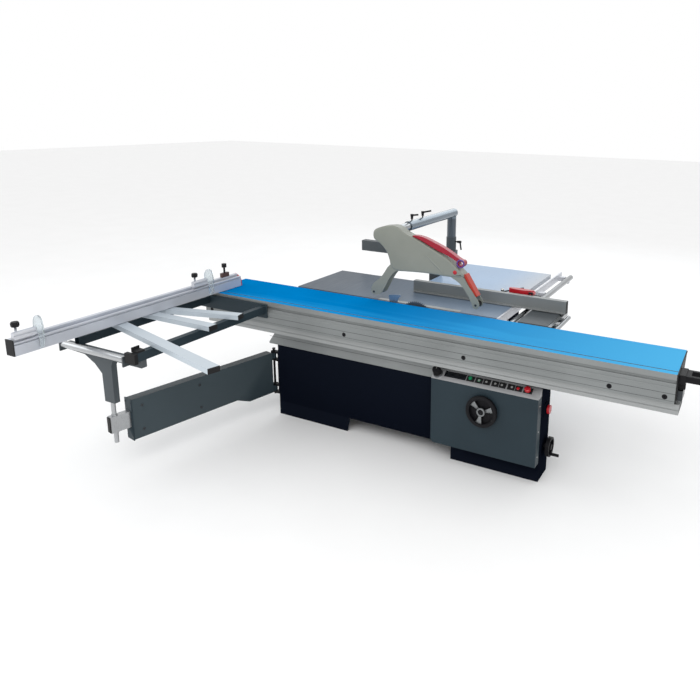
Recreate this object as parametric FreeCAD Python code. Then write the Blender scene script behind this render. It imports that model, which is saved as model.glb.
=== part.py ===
import FreeCAD, Part
import math, os

# Sliding-table panel saw. Millimetres, +Z up, floor at Z = 0.
# Local layout frame: x = 0 at the middle of the sliding table, y = 0 at its
# front face, +X toward the operator's end, +Y toward the rip fence side.
# Every piece is moved by SHIFT at export so that the origin is the centre of
# the four floor bolt holes.

os.makedirs("parts", exist_ok=True)
V = FreeCAD.Vector
SHIFT = V(300, -500, 0)

# ---------------------------------------------------------------- dimensions
H = 858.0            # table surface height
CAR_L = 3200.0       # sliding table length
CAR_W = 412.0        # sliding table width
CAR_B = 698.0        # underside of the sliding table extrusion
RAIL_B = 632.0       # underside of the fixed rail
BEAM_B = 520.0       # underside of the support beam
CAB_X0, CAB_X1, CAB_XM = -1045.0, 881.0, 441.0
CAB_Y0, CAB_Y1 = 95.0, 900.0
WALL = 4.0
BLADE_Y = 428.0      # plane of the blades
BLADE_X = -123.0
BLADE_Z = 738.0
BLADE_R = 150.0
PIV_Z = H            # tilt axis height
ARM_P = (-1095.0, 110.0)   # swing arm hinge
ARM_A = 11.6               # swing arm angle from -Y toward -X, degrees
GUARD_Y = 428.0
POST = (-278.0, 1292.0)
BOOM_X, BOOM_Z = -278.0, 1362.0


# ------------------------------------------------------------------- helpers
def box(x0, x1, y0, y1, z0, z1):
    return Part.makeBox(x1 - x0, y1 - y0, z1 - z0, V(x0, y0, z0))


def cyl(p, d, r, h):
    return Part.makeCylinder(r, h, V(*p), V(*d))


def tube(p, d, r, ri, h):
    return cyl(p, d, r, h).cut(cyl(p, d, ri, h))


def poly(pts):
    return Part.Face(Part.makePolygon([V(*q) for q in pts] + [V(*pts[0])]))


def ext_x(yz, x0, x1):
    return poly([(x0, y, z) for y, z in yz]).extrude(V(x1 - x0, 0, 0))


def ext_y(xz, y0, y1):
    return poly([(x, y0, z) for x, z in xz]).extrude(V(0, y1 - y0, 0))


def ext_z(xy, z0, z1):
    return poly([(x, y, z0) for x, y in xy]).extrude(V(0, 0, z1 - z0))


def fuse(*s):
    r = s[0]
    for q in s[1:]:
        r = r.fuse(q)
    return r.removeSplitter()


def group(*s):
    return Part.makeCompound(list(s))


def smooth(pts, n=6):
    """Closed Catmull-Rom outline through the points."""
    out = []
    m = len(pts)
    for i in range(m):
        p0, p1, p2, p3 = pts[i - 1], pts[i], pts[(i + 1) % m], pts[(i + 2) % m]
        for k in range(n):
            t = k / n
            out.append(tuple(0.5 * (2 * p1[j] + (p2[j] - p0[j]) * t +
                                    (2 * p0[j] - 5 * p1[j] + 4 * p2[j] - p3[j]) * t * t +
                                    (3 * p1[j] - p0[j] - 3 * p2[j] + p3[j]) * t ** 3)
                             for j in (0, 1)))
    return out


def sector(x0, x1, r0, r1, a0, a1, n=24):
    """Ring sector about the tilt axis; 0 deg is straight down, + toward +Y."""
    def q(r, a):
        a = math.radians(a)
        return (BLADE_Y + r * math.sin(a), PIV_Z - r * math.cos(a))
    A = [a0 + (a1 - a0) * i / n for i in range(n + 1)]
    return ext_x([q(r1, a) for a in A] + [q(r0, a) for a in reversed(A)], x0, x1)


def loop_xz(c1, r1, c2, r2, y0, y1):
    """Solid hull of two circles in an XZ plane, stacked along Z."""
    d = c1[1] - c2[1]
    b = math.asin((r1 - r2) / d)
    pts = []
    for i in range(25):
        a = -b + (math.pi + 2 * b) * i / 24
        pts.append((c1[0] + r1 * math.cos(a), c1[1] + r1 * math.sin(a)))
    for i in range(25):
        a = math.pi + b + (math.pi - 2 * b) * i / 24
        pts.append((c2[0] + r2 * math.cos(a), c2[1] + r2 * math.sin(a)))
    return ext_y(pts, y0, y1)


PARTS = {}


def node(name, shape):
    s = shape.copy()
    s.translate(SHIFT)
    PARTS[name] = s


# ------------------------------------------------------------------- cabinet
W = WALL
cab = [
    box(CAB_X0, CAB_XM, CAB_Y0, CAB_Y0 + W, 100, BEAM_B),
    box(CAB_XM, CAB_X1, CAB_Y0, CAB_Y0 + W, 100, RAIL_B),
    box(CAB_X0, CAB_X0 + W, CAB_Y0, 300, 100, BEAM_B),
    ext_x([(300, 100), (300, 760), (345, 798), (CAB_Y1, 798), (CAB_Y1, 100)], CAB_X0, CAB_X0 + W),
    box(CAB_X0, CAB_XM, CAB_Y1 - W, CAB_Y1, 100, 798),
    ext_x([(262, 100), (262, 722), (300, 760), (345, 798), (CAB_Y1, 798), (CAB_Y1, 100)], CAB_XM - W, CAB_XM),
    box(CAB_XM - W, CAB_X1, 258, 262, 100, RAIL_B),
    box(CAB_X1 - W, CAB_X1, CAB_Y0, 262, 100, RAIL_B),
    box(CAB_XM - W, CAB_XM, CAB_Y0, 262, BEAM_B - W, RAIL_B),
    box(CAB_XM, CAB_X1, CAB_Y0, 262, RAIL_B - W, RAIL_B),
    box(CAB_X0, CAB_XM, CAB_Y0, 200, BEAM_B - W, BEAM_B),
    box(CAB_X0, -560, 300, 304, 300, 760),
    box(200, CAB_XM, 300, 304, 300, 760),
    box(CAB_X0, CAB_XM, CAB_Y0, CAB_Y1, 100, 104),
    box(CAB_XM - W, CAB_X1, CAB_Y0, 262, 100, 104),
    # skirts that make the feet
    ext_y([(CAB_X0, 0), (-468, 0), (-447, 104), (CAB_X0, 104)], CAB_Y0, CAB_Y0 + W),
    box(308, CAB_X1, CAB_Y0, CAB_Y0 + W, 0, 104),
    box(CAB_X0, CAB_X0 + W, CAB_Y0, 290, 0, 104),
    box(CAB_X0, CAB_X0 + W, 710, CAB_Y1, 0, 104),
    ext_y([(CAB_X0, 0), (-468, 0), (-447, 104), (CAB_X0, 104)], CAB_Y1 - W, CAB_Y1),
    box(300, CAB_XM, CAB_Y1 - W, CAB_Y1, 0, 104),
    box(CAB_XM - W, CAB_XM, 710, CAB_Y1, 0, 104),
    box(CAB_X1 - W, CAB_X1, CAB_Y0, 262, 0, 104),
    box(308, CAB_X1, 258, 262, 0, 104),
]
for fx in (-980, 380):
    for fy in (160, 840):
        x0 = CAB_X0 + W if fx < 0 else 320
        x1 = -915 if fx < 0 else CAB_XM - W
        y0 = CAB_Y0 + W if fy < 500 else 780
        y1 = 220 if fy < 500 else CAB_Y1 - W
        cab.append(box(x0, x1, y0, y1, 0, 10))
cab.append(box(770, CAB_X1 - W, CAB_Y0 + W, 258, 0, 10))
cab.append(box(CAB_X1, 893, 128, 192, 412, 482).cut(cyl((882.5, 160, 447), (1, 0, 0), 6.3, 20)))
# welded sheet: every plate is trimmed against the ones before it
plates, done = [], None
for q in cab:
    piece = q if done is None else q.cut(done)
    done = q if done is None else done.fuse(q)
    for f in piece.Solids:
        for fx in (-980, 380):
            for fy in (160, 840):
                f = f.cut(cyl((fx, fy, -1), (0, 0, 1), 7, 12))
        plates += f.cut(cyl((870, 190, 195), (1, 0, 0), 10.3, 20)).Solids
shell = group(*[q for q in plates if q.Volume > 1])
node("cabinet_shell", shell)

# ------------------------------------------------------------------- console
con = box(197, 879, 30, 95, 122, 549)
con = con.cut(box(199.5, 876.5, 32.5, 95, 124.5, 546.5))
con = con.cut(ext_y([(190, 110), (222, 110), (190, 145)], 20, 100))
con = con.cut(cyl((541, 20, 411), (0, 1, 0), 10.3, 30))
node("console_box", con)

PAN_A = math.atan2(47, 65)   # slope of the control panel
pan = ext_x([(30, 549), (95, 549), (95, 596)], 197, 879)


def on_panel(x, s, h0, h1, r):
    """Cylinder standing on the sloped panel: s is the distance up the slope."""
    y = 30 + s * math.cos(PAN_A)
    z = 549 + s * math.sin(PAN_A)
    n = (0, -math.sin(PAN_A), math.cos(PAN_A))
    return cyl((x, y + n[1] * h0, z + n[2] * h0), n, r, h1 - h0)


S_MID = 48.0
S_KNOB = 38.0
for x, s_ in ((228, S_KNOB), (442, S_MID), (802, S_MID)):
    pan = pan.cut(on_panel(x, s_, -22, 5, 6.3))
plates = []
for x in (497, 545, 601, 642, 704, 742):
    plates.append(on_panel(x, S_MID, 0, 4.0, 9.0))
y0 = 30 + 29 * math.cos(PAN_A)
z0 = 549 + 29 * math.sin(PAN_A)
n = (0, -math.sin(PAN_A), math.cos(PAN_A))
t = (0, math.cos(PAN_A), math.sin(PAN_A))
win = poly([(272, y0, z0), (412, y0, z0), (412, y0 + 38 * t[1], z0 + 38 * t[2]),
            (272, y0 + 38 * t[1], z0 + 38 * t[2])]).extrude(V(0, n[1] * 3, n[2] * 3))
node("control_panel", group(pan, win, *plates))
node("selector_knob", fuse(on_panel(228, S_KNOB, -20, 4, 6), on_panel(228, S_KNOB, 1, 12, 28),
                           on_panel(228, S_KNOB, 12, 52, 24)))
node("start_button", fuse(on_panel(442, S_MID, -15, 4, 6), on_panel(442, S_MID, 4, 12, 11)))
node("emergency_stop_front", fuse(on_panel(802, S_MID, -15, 8, 6), on_panel(802, S_MID, 8, 20, 19)))

# side emergency stop: housing bored for the stem is on the cabinet side
node("emergency_stop_side", fuse(cyl((890, 160, 447), (1, 0, 0), 6, 12),
                                 cyl((899.5, 160, 447), (1, 0, 0), 27, 15)))

# ------------------------------------------------------- beam, rail, carriage
side_b = [(-1121, BEAM_B), (-1121, 532), (-1050, RAIL_B), (436, RAIL_B), (436, BEAM_B)]
beam = group(ext_y(side_b, 97, 103), ext_y(side_b, 191, 197), box(-1121, 436, 103, 191, BEAM_B, BEAM_B + 6),
             box(-1050, 436, 103, 191, RAIL_B - 6, RAIL_B))
node("support_beam", beam)

rail = ext_x([(24, RAIL_B), (24, 690), (40, 690), (40, 672), (182, 672), (182, 690), (196, 690), (196, RAIL_B)],
             -1610, 1622)
rail = rail.cut(box(-1700, 1700, 32, 188, 640, 666))
rail = rail.cut(box(-1700, 1700, 20, 27, 655, 662))
rods = [cyl((-1600, y, 677), (1, 0, 0), 5, 3200) for y in (60, 162)]
# the extrusion and its two hardened guide rods
node("fixed_rail", group(rail, *rods))

cas = box(-700, 700, 50, 172, 684, 696)
for x in (-640, -400, -160, 160, 400, 640):
    cas = cas.cut(box(x - 40, x + 40, 75, 147, 680, 700))
node("roller_cassette", cas)

prof = [(0, CAR_B), (0, 784), (8, 790), (8, 806), (18, 806), (18, 826), (5, 826), (5, H),
        (CAR_W, H), (CAR_W, H - 7), (380, H - 7), (227, CAR_B)]
car = ext_x(prof, -CAR_L / 2, CAR_L / 2)
car = car.cut(ext_x([(8, 706), (8, 778), (26, 798), (26, 834), (13, 834), (13, 850), (150, 850), (150, 706)],
                    -1700, 1700))
car = car.cut(ext_x([(156, 706), (156, 850), (366, 850), (222, 706)], -1700, 1700))
car = car.cut(box(-1700, 1700, 44, 54, 846, 860))       # T slot mouth in the table
for x in (-1550, -1268, -420, 420, 1268, 1550):
    car = car.cut(cyl((x, -5, 730), (0, 1, 0), 14, 14))
node("carriage_profile", car)
plugs = [cyl((x, 1, 730), (0, 1, 0), 14, 7) for x in (-1550, -1268, -420, 420, 1268, 1550)]
node("carriage_film", group(box(-1600, 1600, 5, 44, H, H + 1), box(-1600, 1600, 54, CAR_W, H, H + 1)))
capp = [(1, CAR_B + 1), (1, 784), (9, 790), (9, H - 1), (CAR_W - 4, H - 1), (CAR_W - 4, H - 6), (379, H - 6),
        (226, CAR_B + 1)]
node("carriage_end_caps", group(ext_x(capp, -1606, -1600), ext_x(capp, 1600, 1606),
                                box(1606, 1632, 40, 150, 706, 760), box(1606, 1640, 60, 84, 764, 792),
                                *plugs))
hand = fuse(box(1606, 1640, 30, 150, 800, 850), box(1640, 1780, 36, 144, 812, 846))
hand = hand.cut(box(1664, 1756, 60, 120, 800, 860))
node("push_handle", hand)

# ------------------------------------------------------------ outrigger frame
T1 = (-1597, -1557)
T2 = (-1090, -1050)
fr = box(-1640, -1040, -12.5, -0.5, 745, 840)
for a, b, y in ((T1[0], T1[1], -1021), (T2[0], T2[1], -1042)):
    tb = box(a, b, y, -12.5, 778, 828)
    tb = tb.cut(box(a + 3, b - 3, y - 5, -12.5, 781, 825))
    fr = fr.fuse(tb)
fr = fr.removeSplitter()
node("outrigger_frame", fr)


def bar(x0, y0, x1, y1, w, z0, z1):
    d = math.hypot(x1 - x0, y1 - y0)
    nx, ny = -(y1 - y0) / d * w / 2, (x1 - x0) / d * w / 2
    return ext_z([(x0 - nx, y0 - ny), (x1 - nx, y1 - ny), (x1 + nx, y1 + ny), (x0 + nx, y0 + ny)], z0, z1)


def hbar(x0, y0, x1, y1, w):
    return bar(x0, y0, x1, y1, w, 828, H).cut(bar(x0 * 2 - x1, y0 * 2 - y1, x1 * 2 - x0, y1 * 2 - y0,
                                                   w - 6, 831, H - 3))


M1 = (-1612.0, -752.0, -500.0, -1038.0)
BB = (-1600.0, -548.0, -990.0, -548.0)
CC = (-1600.0, -452.0, -1002.0, -300.0)


def endcap(p, w, t=5):
    x0, y0, x1, y1 = p
    d = math.hypot(x1 - x0, y1 - y0)
    ux, uy = (x1 - x0) / d, (y1 - y0) / d
    return bar(x1, y1, x1 + ux * t, y1 + uy * t, w, 828, H)


# three hollow support bars, their end caps and the stop bracket of the near member
node("support_bars", group(hbar(*M1, 68), hbar(*BB, 64), hbar(*CC, 60), endcap(M1, 68), endcap(BB, 64), endcap(CC, 60),
                             box(-1126, T2[1] + 4, -1064, -1042, 770, 828),
                             box(T2[0] - 8, T2[1] - 2, -1040, -990, 828, 840),
                             box(T2[0] - 8, T2[0] - 2, -1040, -990, 840, 855)))

# tee head, gussets and leg, welded
LX, LY = -1344.0, -1003.0
tee = ext_y([(-1702, 760), (-1702, 741), (-1522, 733), (-1440, 690), (LX - 43, 640), (LX - 41, 470),
             (LX + 41, 470), (LX + 43, 700), (-1285, 736), (-1050, 736), (-1050, 778), (-1690, 778)], LY - 18, LY + 18)
tee = tee.cut(ext_y([(LX - 38, 480), (LX - 38, 636), (LX + 38, 690), (LX + 38, 480)], LY - 15, LY + 15))
lugs = fuse(box(-1676, -1668, LY - 66, LY - 18, 741, 800), box(-1146, -1138, LY - 66, LY - 18, 741, 800))
for x in (-1676, -1146):
    lugs = lugs.cut(cyl((x - 1, LY - 42, 778), (1, 0, 0), 6.3, 12))
node("tee_leg", fuse(tee, lugs))
node("loading_roller", fuse(cyl((-1667, LY - 42, 778), (1, 0, 0), 20, 520),
                            cyl((-1678, LY - 42, 778), (1, 0, 0), 6, 542)))

# ------------------------------------------------------------- crosscut fence
FX0, FX1 = -1540.0, -1480.0
FB = 861.5
fp = [(FX1, FB), (FX1, 918), (FX1 - 10, 918), (FX1 - 10, 926), (FX1, 926), (FX1, 934), (FX1 - 20, 934),
      (FX1 - 20, 922), (FX1 - 32, 922), (FX1 - 32, 948), (FX0, 948), (FX0, FB)]
fen = poly([(x, -1430, z) for x, z in fp]).extrude(V(0, 1660, 0))
fen = fen.cut(box(FX0 + 5, FX1 - 36, -1500, 300, FB + 6, 940))
fen = fen.cut(box(FX1 - 28, FX1 - 5, -1500, 300, FB + 6, 910))
# threaded pivot stud that drops into the table's groove plate
fen = fen.fuse(cyl((-1510, 200, H + 1.2), (0, 0, 1), 14, 4.3))
node("crosscut_fence", fen)
node("fence_fittings", group(box(FX0 - 2, FX1 + 2, -1436, -1430, FB + 1, 949),
                             ext_y([(FX0, FB + 1), (FX1, FB + 1), (FX1, 900), (FX1 - 14, 930), (FX0 + 10, 948),
                                    (FX0, 948)], 230, 238),
                             box(FX0 + 4, FX1 - 34, 82, 150, 948, 978),
                          fuse(cyl((-1526, 116, 978), (0, 0, 1), 7, 40), cyl((-1526, 116, 1018), (0, 0, 1), 17, 26))))


def stop(yc):
    c = fuse(box(FX1 - 30, FX1 - 2, yc - 60, yc + 60, 948, 990).common(
        fuse(box(FX1 - 30, FX1 - 2, yc - 60, yc + 60, 948, 966),
             cyl((FX1 - 16, yc - 60, 975), (0, 1, 0), 13, 120))),
        cyl((FX1 - 16, yc - 40, 985), (0, 0, 1), 6, 30),
        cyl((FX1 - 16, yc - 40, 1015), (0, 0, 1), 18, 26))
    c = c.cut(cyl((FX1 - 16, yc + 20, 975), (0, 1, 0), 6.3, 60))
    ZC, XC = 975, FX1 - 16
    pts = [(XC - 16, ZC + 30), (XC - 4, ZC + 62), (XC + 20, ZC + 76), (XC + 46, ZC + 66), (XC + 58, ZC + 30),
           (XC + 60, ZC - 20), (XC + 56, ZC - 70), (XC + 40, ZC - 100), (XC + 26, ZC - 104), (XC + 22, ZC - 60),
           (XC + 21, ZC - 24), (XC - 14, ZC - 16)]
    f = ext_y(smooth(pts, 4), yc + 62, yc + 72)
    f = fuse(f, cyl((XC, yc + 24, ZC), (0, 1, 0), 6, 50))
    return c, f


for i, yc in ((1, -1362.0), (2, -150.0)):
    c, f = stop(yc)
    # the carrier sits in the top groove of the fence
    c = fuse(c, box(FX1 - 30, FX1 - 22, yc - 60, yc + 60, 924, 948))
    node("flip_stop_%d_carrier" % i, c)
    node("flip_stop_%d_fin" % i, f)

# ------------------------------------------------------------------ swing arm
ua = math.radians(ARM_A)
U = (-math.sin(ua), -math.cos(ua))
N = (math.cos(ua), -math.sin(ua))


def A(s, w):
    return (ARM_P[0] + U[0] * s + N[0] * w, ARM_P[1] + U[1] * s + N[1] * w)


def abox(s0, s1, w0, w1, z0, z1):
    return ext_z([A(s0, w0), A(s1, w0), A(s1, w1), A(s0, w1)], z0, z1)


def aprof(sz, w0, w1):
    pts = [(*A(s, w0), z) for s, z in sz]
    return poly(pts).extrude(V(N[0] * (w1 - w0), N[1] * (w1 - w0), 0))


side = [(26, 455), (1050, 455), (1050, 200), (330, 200), (230, 158), (26, 158)]
hx, hy = A(0, 0)
back = abox(26, 32, -49, 9, 164, 449)
plates = [aprof(side, -53, -49), aprof(side, 9, 13), abox(26, 1050, -49, 9, 449, 455), abox(334, 1050, -49, 9, 200, 206),
          aprof([(230, 158), (330, 200), (334, 200), (334, 206), (234, 164), (230, 164)], -49, 9),
          abox(26, 230, -49, 9, 158, 164), back,
          abox(1050, 1056, -57, 17, 383, 458), abox(1050, 1056, -57, 17, 197, 281),
          abox(1050, 1056, -57, -41, 281, 383), abox(1050, 1056, 1, 17, 281, 383)]
for z in (165, 410):
    k = cyl((hx, hy, z), (0, 0, 1), 16, 40).fuse(abox(0, 26, -12, 12, z, z + 40)).removeSplitter()
    plates.append(k.cut(cyl((hx, hy, 100), (0, 0, 1), 8.3, 420)))
arm = group(*plates)
node("swing_arm", arm)

hb = []
for z0 in (150, 205.5, 395, 450.5):
    b = box(hx - 16, CAB_X0, hy - 14, hy + 16, z0, z0 + 14.5)
    hb.append(b)
hb.append(box(CAB_X0 - 8, CAB_X0, hy - 14, hy + 30, 150, 465))
br = fuse(*hb)
pin = cyl((hx, hy, 140), (0, 0, 1), 8, 336).fuse(cyl((hx, hy, 476), (0, 0, 1), 11, 8))
node("arm_hinge_bracket", fuse(br, pin))

RS, RW = 1140.0, -20.0
tt = abox(700, 1172, -40, 0, 282, 382).cut(abox(690, 1168, -37, -3, 285, 379))
rx, ry = A(RS, RW)
tt = tt.cut(cyl((rx, ry, 260), (0, 0, 1), 13, 140))
# slotted rectangular tube and the clamped round rod that carries the tee leg
node("telescopic_tube", group(tt, fuse(cyl((rx, ry, 213), (0, 0, 1), 13, 255), tube((rx, ry, 382), (0, 0, 1), 17, 12, 8),
                         tube((rx, ry, 274), (0, 0, 1), 17, 12, 8))))

# ----------------------------------------------------------------- main table
MX0, MX1, MY0, MY1 = -1120.0, 451.0, 436.0, 1011.0
mt = box(MX0, MX1, MY0, MY1, 798, H)
pockets = [(MX0 + 14, -712, MY0 + 14, MY1 - 14), (-698, -445, MY0 + 14, MY1 - 14), (-425, 186, MY0 - 5, MY1 - 14),
           (206, MX1 - 14, MY0 + 14, MY1 - 14)]
for a, b, c, d in pockets:
    mt = mt.cut(box(a, b, c, d, 790, 838))
mt = mt.cut(box(-430, 190, MY0 - 1, 476, 850, H + 1)).cut(box(-420, 180, MY0 - 1, 464, 780, 851))
node("main_table", mt)
node("blade_insert", box(-429.5, 189.5, 437, 475.5, 850, H))

rt = box(-352, 409, MY1, 1754, 822, H)
for a, b, c, d in ((-340, 20, MY1 + 12, 1370), (36, 397, MY1 + 12, 1370), (-340, 20, 1386, 1742), (36, 397, 1386, 1742)):
    rt = rt.cut(box(a, b, c, d, 800, 846))
node("rear_extension_table", rt)

ft = box(592, 786, MY0 + 4, 800, 834, H - 1)
ft = ft.cut(box(600, 778, MY0 + 12, 792, 800, 849))
node("front_extension_table", group(ft, box(786, 810, MY0 + 4, 812, 828, H - 4),
                              cyl((838, MY0 + 4, 838), (0, 1, 0), 14, 300),
                              *[box(810, 826, q, q + 40, 828, 846).cut(cyl((838, MY0, 838), (0, 1, 0), 14, 320)) for q in (500, 640)]))

RRX, RRZ, RRR = 540.0, 822.0, 20.0
node("fence_rail_round", cyl((RRX, MY0 + 2, RRZ), (0, 1, 0), RRR, 1438))
brk = []
for y in (460, 1250, 1800):
    brk.append(box(MX1 + 12, RRX - 21.5, y - 20, y + 20, 805, 838).fuse(
        box(RRX - 22, RRX + 10, y - 20, y + 20, 790, 812)).cut(cyl((RRX, y - 30, RRZ), (0, 1, 0), RRR, 60)))
for y in (500, 700):
    brk.append(box(RRX + 10, 600, y - 15, y + 15, 790, 802).fuse(box(588, 600, y - 15, y + 15, 802, 834)).fuse(
        box(RRX - 6, RRX + 14, y - 15, y + 15, 790, 806)).cut(cyl((RRX, y - 30, RRZ), (0, 1, 0), RRR, 60)))
node("fence_rail_flat", group(box(MX1, MX1 + 12, MY0, 1885, 800, H - 2), *[b.removeSplitter() for b in brk]))

# ------------------------------------------------------------------ rip fence
RY0, RY1 = 722.0, 762.0
rc = fuse(box(468, 640, 770, 900, 862, 892), box(520, 600, 790, 880, 892, 918))
rc = rc.cut(cyl((RRX, 700, RRZ), (0, 1, 0), RRR + 20.3, 300))
sad = fuse(box(RRX - 45, RRX + 45, 780, 890, 842.4, 862))
rc = fuse(rc, sad).cut(cyl((RRX, 700, RRZ), (0, 1, 0), RRR + 0.4, 300))
rc = fuse(rc, box(468, 640, RY1 + 0.5, 770, 862, 930))
rc = fuse(rc, box(310, 468, RY1 + 0.5, 780, 862, 925), box(310, 352, 780, 872, 862, 900))
rc = rc.fuse(box(546, 574, 770, 782, 900, 960)).cut(cyl((560, 768, 945), (0, 1, 0), 6.3, 20)).cut(cyl((330, 850, 880), (0, 0, 1), 5.3, 40))
node("rip_carrier", rc)
rf = box(-305, 820, RY0, RY1, 861.5, 945)
rf = rf.cut(box(-400, 900, RY0 + 4, RY0 + 18, 868, 940)).cut(box(-400, 900, RY0 + 22, RY1 - 4, 868, 940))
rf = rf.fuse(box(-300, 820, RY0 - 12, RY0, 861.5, 872)).removeSplitter()
node("rip_fence", rf)
hd = fuse(cyl((560, 772, 945), (0, 1, 0), 6, 30), cyl((560, 789, 945), (0, 1, 0), 17, 42),
          ext_z(smooth([(556, 796), (500, 786), (440, 790), (402, 800), (394, 812), (404, 824), (450, 832),
                        (510, 830), (560, 824), (572, 810)], 4), 925, 965))
node("rip_handle", hd)
lv = fuse(cyl((330, 850, 882), (0, 0, 1), 5, 42), cyl((330, 850, 900.5), (0, 0, 1), 11, 25),
          cyl((330, 850, 917), (1, 0.22, 0.24), 5, 150), cyl((412, 868.04, 936.68), (1, 0.22, 0.24), 8, 66))
node("rip_lever", lv)

# --------------------------------------------------------------- saw unit
tb = []
for x0, x1, l0, l1, c0, c1 in ((-300, -284, -284, -263, -282, -262), (84, 100, 63, 84, 62, 82)):
    p = fuse(sector(x0, x1, 160, 240, -38, 75), box(x0, x1, 452, 700, 790, 838),
             sector(l0, l1, 226, 240, -38, 75))
    tb.append(p)
node("trunnion_brackets", group(*tb))

cr = [sector(-282, -262, 180, 225, 5, 70), sector(62, 82, 180, 225, 5, 70)]
for x0 in (-262, 42):
    cr.append(ext_x([(555, 620), (555, 700), (600, 735), (660, 700), (660, 600), (600, 600)], x0, x0 + 20))
cr.append(box(-282, 82, 604, 660, 600, 660))
cr.append(box(-262, -241, 500, 660, 560, 800))
cr.append(box(62, 82, 480, 520, 656, 775))
cr.append(box(82, 165, 480, 520, 745, 775))
cr.append(cyl((140, 440, 796), (0, 1, 0), 25, 90))
cra = cr[0].multiFuse(cr[1:]).removeSplitter()
cra = cra.cut(cyl((140, 430, 796), (0, 1, 0), 10.3, 110))
node("saw_cradle", cra)
scb = fuse(cyl((140, 426.5, 796), (0, 1, 0), 60, 3.2), cyl((140, 424, 796), (0, 1, 0), 20, 8),
           cyl((140, 429, 796), (0, 1, 0), 10, 100))
node("scoring_blade", scb)

MZ = 420.0
au = fuse(cyl((BLADE_X, 445, BLADE_Z), (0, 1, 0), 42, 80),
          box(-240, -150, 455, 520, BLADE_Z - 30, BLADE_Z + 30),
          box(-240, -220, 445, 575, 620, 780), box(-240, -220, 500, 575, 560, 620), box(-240, -220, 558, 575, 330, 560),
          box(-240, -26, 565, 575, 335, 690),
          box(-300, -172, 431, 445, 745, 775), box(-300, -280, 429.5, 431, 745, 775),
          box(-240, -200, 445, 456, 745, 775))
au = au.cut(cyl((BLADE_X, 440, BLADE_Z), (0, 1, 0), 15.3, 100))
au = au.cut(cyl((BLADE_X, 560, MZ), (0, 1, 0), 14.3, 20)).cut(cyl((BLADE_X, 526, BLADE_Z), (0, 1, 0), 62, 60))
au = au.cut(box(-190, -56, 526, 564, 300, 780))
node("arbor_unit", au)
knife = smooth([(-337, 893), (-328, 906), (-246, 912), (-262, 884), (-272, 850), (-276, 800), (-279, 750), (-298, 750),
                (-318, 800), (-330, 850)], 4)
node("riving_knife", ext_y(knife, 427, 429.5))
sp = fuse(cyl((BLADE_X, 404, BLADE_Z), (0, 1, 0), 15, 157), cyl((BLADE_X, 429.6, BLADE_Z), (0, 1, 0), 42, 10),
          cyl((BLADE_X, 530, BLADE_Z), (0, 1, 0), 50, 30),
          tube((BLADE_X, 416, BLADE_Z), (0, 1, 0), 40, 15, 10.4),
          ext_y([(BLADE_X + 24 * math.cos(math.pi * k / 3), BLADE_Z + 24 * math.sin(math.pi * k / 3))
                 for k in range(6)], 406, 416))
node("saw_spindle", sp)
pts = []
NT = 60
for k in range(NT):
    a = 2 * math.pi * k / NT
    for da, r in ((0.0, BLADE_R), (0.018, BLADE_R - 1.5), (0.052, BLADE_R - 9), (0.085, BLADE_R - 9)):
        pts.append((BLADE_X + r * math.cos(a + da), BLADE_Z + r * math.sin(a + da)))
bl = ext_y(pts, 426.4, 429.6).cut(cyl((BLADE_X, 420, BLADE_Z), (0, 1, 0), 15, 20))
node("saw_blade", bl)
node("main_motor", fuse(cyl((BLADE_X, 575, MZ), (0, 1, 0), 85, 225), box(-183, -63, 640, 740, MZ + 60, MZ + 110)))
node("motor_pulley", fuse(cyl((BLADE_X, 530, MZ), (0, 1, 0), 40, 30), cyl((BLADE_X, 555, MZ), (0, 1, 0), 14, 19.5)))
bo = loop_xz((BLADE_X, BLADE_Z), 56, (BLADE_X, MZ), 46, 534, 556)
bi = loop_xz((BLADE_X, BLADE_Z), 50.6, (BLADE_X, MZ), 40.6, 530, 560)
node("drive_belt", bo.cut(bi))

# ----------------------------------------------------------------- handwheels
def wheel3(R, t):
    """Dished three spoke wheel about +Z, rim radius R, thickness t, hub shaft excluded."""
    rim = tube((0, 0, 0), (0, 0, 1), R, R - 20, t)
    web = tube((0, 0, 0), (0, 0, 1), R - 16, 20, 4)
    hub = cyl((0, 0, 0), (0, 0, 1), 26, t)
    s = fuse(rim, web, hub)
    for k in range(3):
        a = math.radians(20 + 120 * k)
        c, q = math.cos(a), math.sin(a)
        pts = [(22 * c - 9 * -q, 22 * q - 9 * c), ((R - 14) * c - 17 * -q, (R - 14) * q - 17 * c),
               ((R - 14) * c + 17 * -q, (R - 14) * q + 17 * c), (22 * c + 9 * -q, 22 * q + 9 * c)]
        s = s.fuse(ext_z(pts, 2, t - 6))
    return s.removeSplitter()


w = wheel3(96, 26)
w = w.fuse(cyl((0, 0, -64), (0, 0, 1), 10, 66))
w.rotate(V(0, 0, 0), V(1, 0, 0), 90)
w.translate(V(541, 24, 411))
node("lift_handwheel", w)
w = fuse(tube((0, 0, 0), (0, 0, 1), 60, 46, 22), tube((0, 0, 0), (0, 0, 1), 50, 12, 6), cyl((0, 0, 0), (0, 0, 1), 18, 24),
         cyl((0, 0, -50), (0, 0, 1), 10, 52), cyl((46, 0, 6), (0, 0, 1), 9, 64))
w.rotate(V(0, 0, 0), V(0, 1, 0), 90)
w.translate(V(903, 190, 195))
node("tilt_handwheel", w)

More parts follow.
